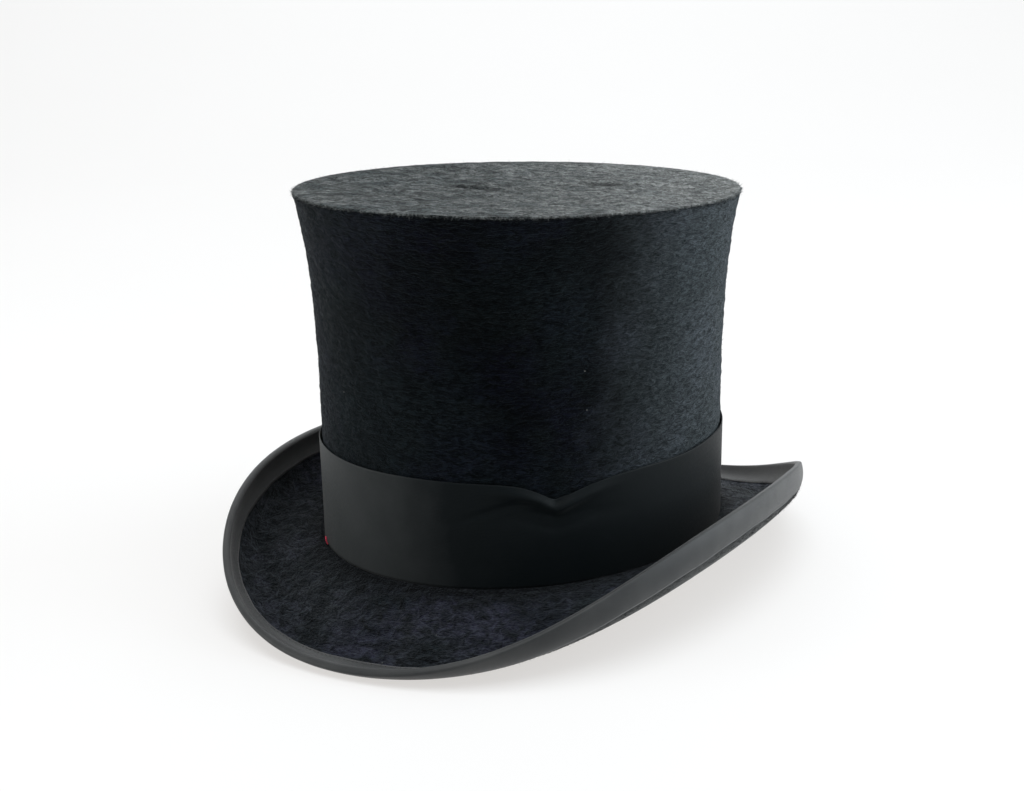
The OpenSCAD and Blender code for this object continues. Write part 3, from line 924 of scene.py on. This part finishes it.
def sweatband():
    zs = FOOT + np.linspace(0, SWEATBAND_H, 60)

    def section(t):
        a = np.radians(t)

        def rows(extra, levels):
            result = []
            for z in levels:
                share = (z - FOOT) / SWEATBAND_H
                wave = share ** 2 * (0.5 + 0.3 * np.sin(7 * a + 1) + 0.2 * np.sin(17 * a))
                result.append((-SHELL_T - leather_gap(z) - extra - wave, z + share * 0.35 * np.sin(5 * a)))
            return result

        return ring(t, rows(LEATHER_T, zs)[::-1] + rows(0.0, zs))

    piece = shell("sweatband_leather", section, 420, LEATHER, ["sweatband"])

    def path(t):
        r = -SHELL_T - leather_gap(STITCH_Z) - LEATHER_T - 0.05
        return place(t, r, STITCH_Z), -0.2 * around(t)[0]

    a, b, lift = row_of_stitches(220, 0.62, path)
    rods("sweatband_stitch_row", a, b, 0.22, lift, LIGHT_THREAD, ["sweatband_stitches"])
    return piece


def reed():
    turns = np.linspace(0, TAU, 17)[:-1]

    def section(t):
        return ring(t, [(-SHELL_T - REED_R + REED_R * math.cos(k) * 0.97,
                         FOOT + REED_R + 0.2 + REED_R * math.sin(k) * 0.97) for k in -turns])

    return shell("sweatband_reed_rod", section, 300, REED, ["sweatband_reed"])


def ribbon_strip(path, lean, wide, thick=0.3):
    """A flat ribbon along path: lean is the direction across it, wide its half width at each point."""
    tangent = np.gradient(path, axis=0)
    face = np.cross(tangent, lean)
    face /= np.linalg.norm(face, axis=1, keepdims=True)
    rows = []
    for side in (1, -1):
        layer = [path + lean * (wide * s)[:, None] + face * (side * thick / 2 + 0.25 * math.cos(math.pi * s))
                 for s in np.linspace(-1, 1, 9)]
        rows += layer[::side]
    return np.stack(rows, 1)


def bow():
    """A flat ribbon bow on the leather at the back of the head: two loops, two tails and a knot."""
    back = CROWN_L / 2 - SHELL_T - leather_gap(12.7) - LEATHER_T
    centre = np.array([0.0, back - 0.5, ROOT_Z + FOOT + 14.0])
    curve = CROWN_W ** 2 / CROWN_L      # the leather falls away from the bow's middle as x squared over this
    parts = []
    for side in (1, -1):
        k = np.linspace(0, 1, 36)
        x = 1.2 + 11.5 * np.sin(math.pi * k) ** 0.8
        y = -0.5 - 2.2 * k - 0.5 * np.sin(math.pi * k) - x ** 2 / curve
        lean = np.stack([0 * k, 0.1 * np.sin(TAU * k), 1 + 0 * k], -1)
        path = centre + np.stack([side * x, y, 0.9 * np.sin(TAU * k)], -1)
        parts.append(ribbon_strip(path, lean, 5.0 * (0.42 + 0.58 * np.clip((x - 1.2) / 7, 0, 1) ** 0.7)))
        k = np.linspace(0, 1, 20)
        x = 1 + 6.5 * k
        path = centre + np.stack([side * x, -0.4 - 0.5 * np.sin(3 * k) - x ** 2 / curve, -1 - 13.5 * k], -1)
        lean = np.tile([0.9, 0.0, 0.42 * side], (20, 1))
        parts.append(ribbon_strip(path, lean, 2.2 + 2.8 * k ** 0.7))
    k = np.linspace(0, TAU * 0.96, 26)
    path = centre + np.stack([0 * k, -1.7 + 1.9 * np.cos(k), 2.5 * np.sin(k)], -1)
    parts.append(ribbon_strip(path, np.tile([1.0, 0, 0], (26, 1)), np.full(26, 2.4)))
    points, faces, base = [], [], 0
    for p in parts:
        n, m = p.shape[:2]
        faces += [grid(p, False, True) + base, end_caps(n, m) + base]
        points.append(p.reshape(-1, 3))
        base += n * m
    points, faces = np.concatenate(points), np.concatenate(faces)
    mesh = make_mesh("ribbon_bow", points, faces, points[faces][..., [2, 0]] * MM)
    piece = finished(mesh, "ribbon_bow", BOW_RIBBON, ["sweatband_bow"])
    return piece


def side_lining():
    low, high = 30.0, WALL_TOP - 1.6
    zs = np.linspace(low, high, 69)

    def section(t):
        a = np.radians(t)
        pucker = 0.28 * np.sin(61 * a + 0.6 * np.sin(7 * a)) + 0.18 * np.sin(97 * a + 1)

        def rows(extra, levels):
            result = []
            for z in levels:
                share = (z - low) / (high - low)
                folds = pucker * (0.25 + 1.1 * share ** 3)
                r = flare(t, z) - SHELL_T - 1.2 - 0.6 * share - extra
                result.append((r + np.minimum(folds, 0.45), z))
            return result

        return ring(t, rows(LINING_T, zs)[::-1] + rows(0.0, zs))

    piece = shell("side_lining_satin", section, 720, SATIN, ["side_lining"])
    return piece


def tip_lining():
    t = np.arange(720) / 2 + SEAM
    share = np.linspace(0.01, 1, 50)
    drop = PLUSH_T + TIP_T + 1.0
    edge = tip_edge(t, flare(t, WALL_TOP - 1.0) - SHELL_T - 0.9)
    pucker = 0.22 * np.sin(60 * np.radians(t))[:, None] * np.clip((share[None] - 0.72) / 0.28, 0, 1) ** 1.5

    def layer(low):
        p = tip_layer(edge, share, drop + low, dish=(1.3, 1.1, 0.5, 0.1))
        p[..., 2] += pucker
        return p

    piece = disc("tip_lining_satin", [layer(0.0), layer(LINING_T)[:, ::-1]], SATIN, ["tip_lining"])
    return piece


side_plush()
crown_fibres()
tip_plush()
tip_fibres()
tip_board()
brim_plush()
brim_fibres()
under_cover()
under_fibres()
binding()
binding_lap()
binding_stitches()
hat_band()
band_lap()
red_ends()
sweatband()
reed()
bow()
side_lining()
tip_lining()

# The shells and tapes keep their CAD shapes, with their own cloth
KEPT_SHAPES = {"crown_shell": BOARD, "brim_shell": BOARD, "joint_strip": TAPE, "tip_joint_strip": TAPE}
for name, cloth in KEPT_SHAPES.items():
    nodes[name].data.materials.clear()
    nodes[name].data.materials.append(cloth)


# ---- Floor, light and camera, in metres ----
CAMERA = {"azimuth": 29.09, "elevation": 15.76, "distance": 0.9008, "lens": 69.46,
          "turn": -0.334, "lift": 0.534, "roll": -0.86, "aim_z": 0.07}


def way_back(azimuth, elevation):
    """From the hat towards something that looks at it or lights it."""
    a, e = math.radians(azimuth), math.radians(elevation)
    return Vector((math.sin(a) * math.cos(e), -math.cos(a) * math.cos(e), math.sin(e)))


def floor():
    """A sheet of pale paper that rises in a curve behind the hat, as the camera sees it."""
    mesh = bpy.data.meshes.new("floor")
    size, start, bend, rise = 3.0, 1.1, 0.9, 1.5
    profile = [(-size, 0.0), (start, 0.0)]
    for a in np.linspace(0.1, math.pi / 2, 12):
        profile.append((start + bend * math.sin(a), bend - bend * math.cos(a)))
    profile += [(start + bend, bend + rise)]
    turn = Matrix.Rotation(math.radians(CAMERA["azimuth"]), 3, "Z")
    points = [turn @ Vector((x, y, z)) for y, z in profile for x in (-size, size)]
    faces = [(2 * k, 2 * k + 1, 2 * k + 3, 2 * k + 2) for k in range(len(profile) - 1)]
    mesh.from_pydata(points, [], faces)
    mesh.polygons.foreach_set("use_smooth", [True] * len(mesh.polygons))
    p = Paint("floor_paper")
    spots = p.noise(p.place, 3.0, 4.0, 0.55)
    p.set(base_color=p.ramp(spots, [(0.3, (0.21, 0.222, 0.232)), (0.7, (0.215, 0.227, 0.238))]))
    p.set(roughness=0.9, specular_ior_level=0.05, emission_color=(1.0, 0.97, 0.94), emission_strength=0.635)
    mesh.materials.append(p.material)
    piece = bpy.data.objects.new("floor", mesh)
    bpy.context.scene.collection.objects.link(piece)


def lamp(name, azimuth, elevation, distance, size, power, colour=(1, 1, 1)):
    """A square soft light aimed at the crown, placed around the camera's azimuth."""
    data = bpy.data.lights.new(name, "AREA")
    data.size, data.energy, data.color = size, power, colour
    back = way_back(azimuth + CAMERA["azimuth"], elevation)
    light = bpy.data.objects.new(name, data)
    light.location = Vector((0, 0, 0.08)) + back * distance
    light.rotation_mode = "QUATERNION"
    light.rotation_quaternion = back.to_track_quat("Z", "Y")
    bpy.context.scene.collection.objects.link(light)


def camera():
    c = CAMERA
    a, turn, lift, r = (math.radians(c[key]) for key in ("azimuth", "turn", "lift", "roll"))
    back = way_back(c["azimuth"], c["elevation"])
    right = Vector((math.cos(a), math.sin(a), 0))
    up = right.cross(-back)
    ahead = (-back + right * math.tan(turn) + up * math.tan(lift)).normalized()
    right = ahead.cross(Vector((0, 0, 1))).normalized()
    up = right.cross(ahead)
    x = right * math.cos(r) + up * math.sin(r)
    y = -right * math.sin(r) + up * math.cos(r)
    data = bpy.data.cameras.new("camera")
    data.lens, data.sensor_width = c["lens"], 36.0
    cam = bpy.data.objects.new("camera", data)
    cam.matrix_world = Matrix.Translation(Vector((0, 0, c["aim_z"])) + back * c["distance"]) @ Matrix(
        (x, y, -ahead)).transposed().to_4x4()
    bpy.context.scene.collection.objects.link(cam)
    bpy.context.scene.camera = cam


camera()
floor()
lamp("overhead", 20, 78, 1.7, 1.8, 40, (1.0, 1.0, 1.0))
lamp("window", 92, 14, 1.5, 1.3, 27, (0.88, 0.95, 1.0))
lamp("left", -80, 10, 1.5, 1.0, 12, (1.0, 0.99, 0.97))
lamp("back", 180, 32, 1.8, 1.4, 10, (0.95, 0.98, 1.0))
world = bpy.data.worlds.new("world")
bpy.context.scene.world = world
world.use_nodes = True
world.node_tree.nodes["Background"].inputs["Color"].default_value = (0.96, 0.99, 1.0, 1.0)
world.node_tree.nodes["Background"].inputs["Strength"].default_value = 0.35
bpy.context.scene.view_settings.view_transform = "Standard"
